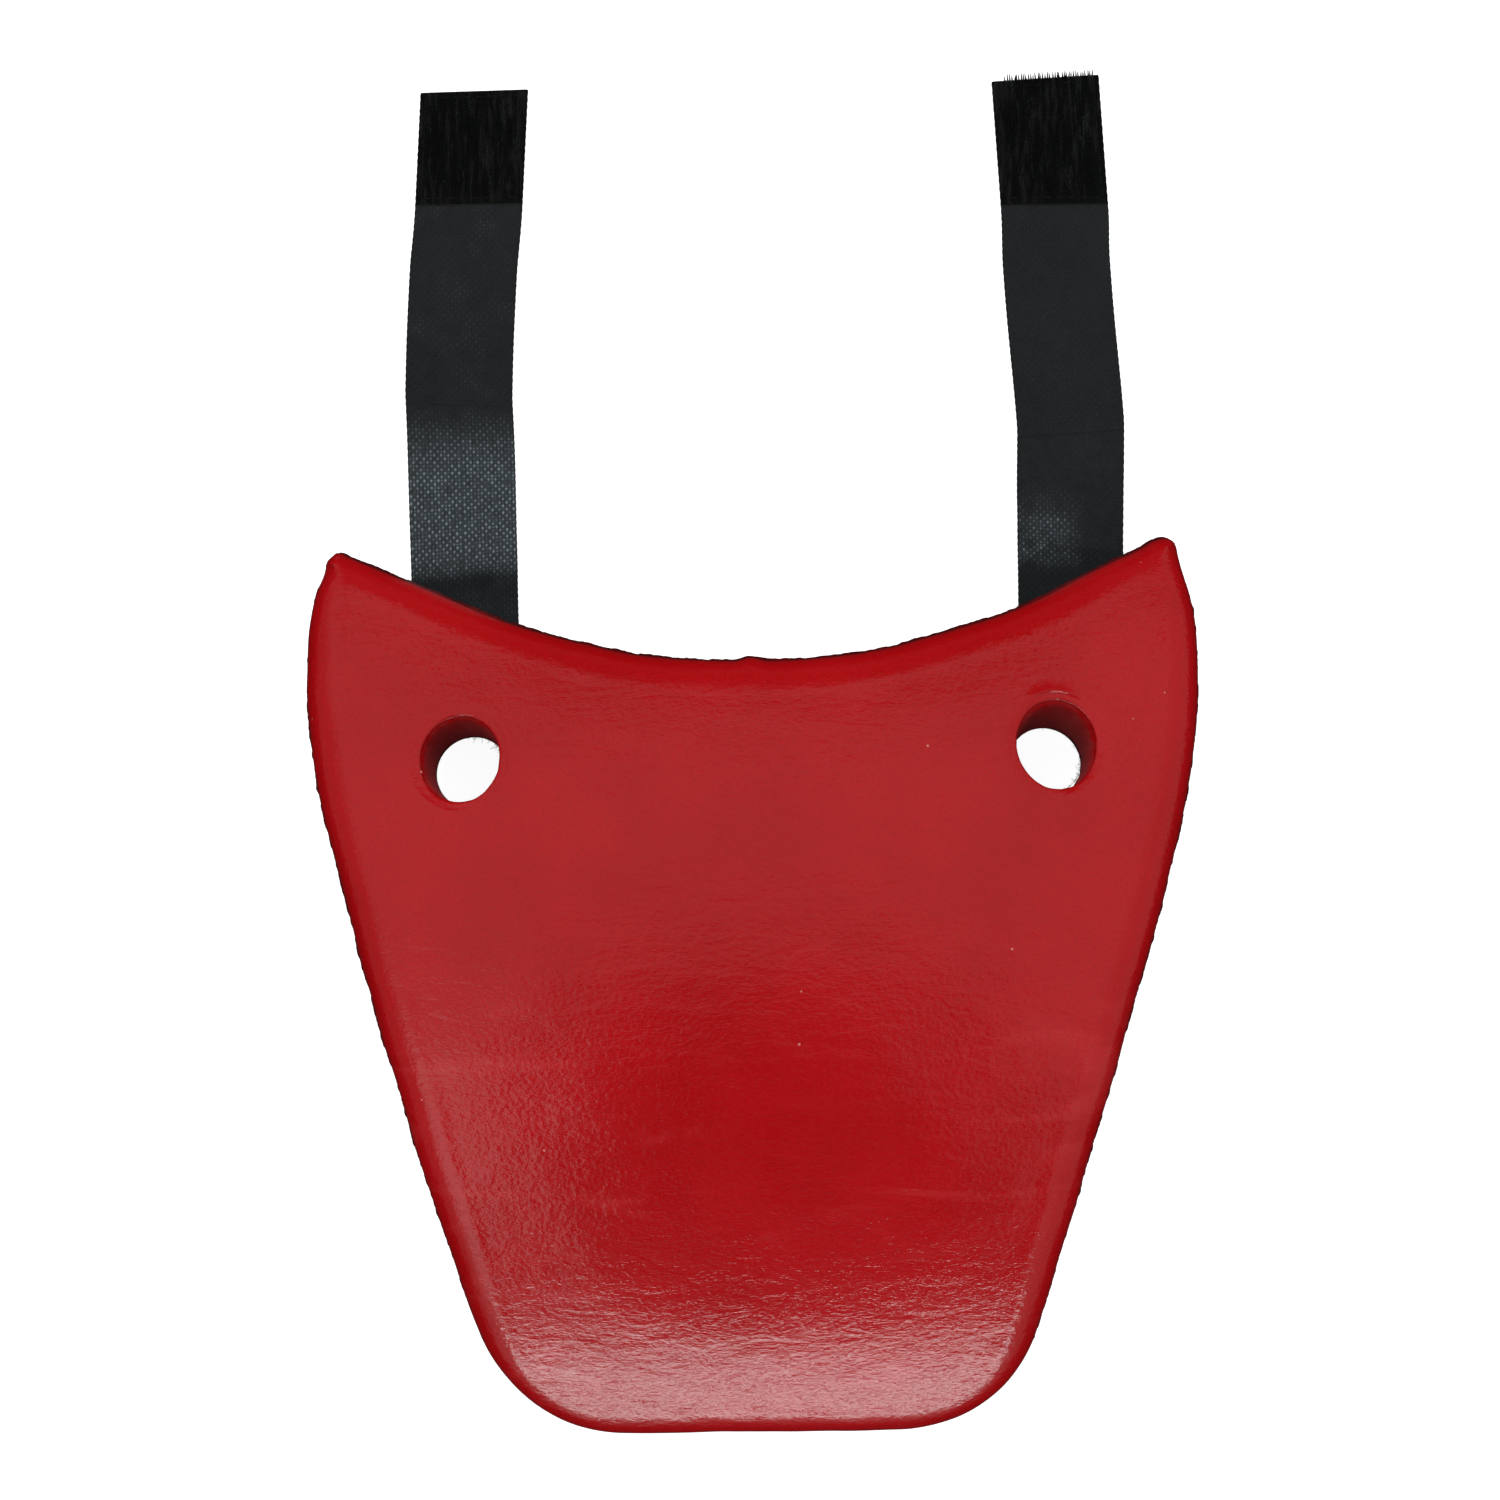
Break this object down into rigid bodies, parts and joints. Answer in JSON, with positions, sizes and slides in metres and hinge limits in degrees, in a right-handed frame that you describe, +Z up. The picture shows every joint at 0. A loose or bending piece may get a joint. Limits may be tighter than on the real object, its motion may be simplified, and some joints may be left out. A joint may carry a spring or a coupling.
{
  "type": "strap-on groin protector",
  "caption": "Domed foam shield for the groin in a dipped vinyl skin, with round through holes and hinged webbing straps that end in hook tape.",
  "frame": {"origin": "on the table under the middle of the whole part, as it lies on its back with its front up and its straps laid out", "axes": "+Z up out of the domed front face, +Y from the bottom edge to the strap ends, +X to the right as seen from the front"},
  "size_m": [0.3126, 0.479, 0.08],
  "materials": {
    "vinyl_skin": "glossy red dipped vinyl with a faint orange peel",
    "foam": "matt black closed-cell foam",
    "lining": "black woven nylon lining",
    "webbing": "charcoal plain-weave nylon webbing",
    "hook_tape": "black woven tape with moulded nylon hooks",
    "thread": "black bonded nylon thread"
  },
  "bodies": {
    "pad": {"vinyl_skin": "vinyl_skin", "outer_foam": "foam", "inner_foam": "foam", "back_lining": "lining", "left_strap_tail": "webbing", "right_strap_tail": "webbing", "left_tail_stitching": "thread", "right_tail_stitching": "thread"},
    "left_lower": {"left_strap_lower": "webbing"},
    "left_upper": {"left_strap_upper": "webbing", "left_hook_patch": "hook_tape", "left_patch_stitching": "thread"},
    "right_lower": {"right_strap_lower": "webbing"},
    "right_upper": {"right_strap_upper": "webbing", "right_hook_patch": "hook_tape", "right_patch_stitching": "thread"}
  },
  "joints": [
    {"name": "left_strap_fold", "type": "hinge", "parent": "pad", "child": "left_lower", "pos_m": [-0.102, 0.06643, 0.01292], "axis": [0.9907, 0.0865, 0.1046], "range_deg": [-120, 75]},
    {"name": "left_strap_bend", "type": "hinge", "parent": "left_lower", "child": "left_upper", "pos_m": [-0.10365, 0.1295, 0.0008], "axis": [0.9981, -0.061, 0], "range_deg": [-30, 90]},
    {"name": "right_strap_fold", "type": "hinge", "parent": "pad", "child": "right_lower", "pos_m": [0.114, 0.07351, 0.00671], "axis": [0.9887, -0.0968, -0.114], "range_deg": [-120, 75]},
    {"name": "right_strap_bend", "type": "hinge", "parent": "right_lower", "child": "right_upper", "pos_m": [0.11513, 0.1165, 0.0008], "axis": [0.9981, 0.061, 0], "range_deg": [-30, 90]}
  ]
}
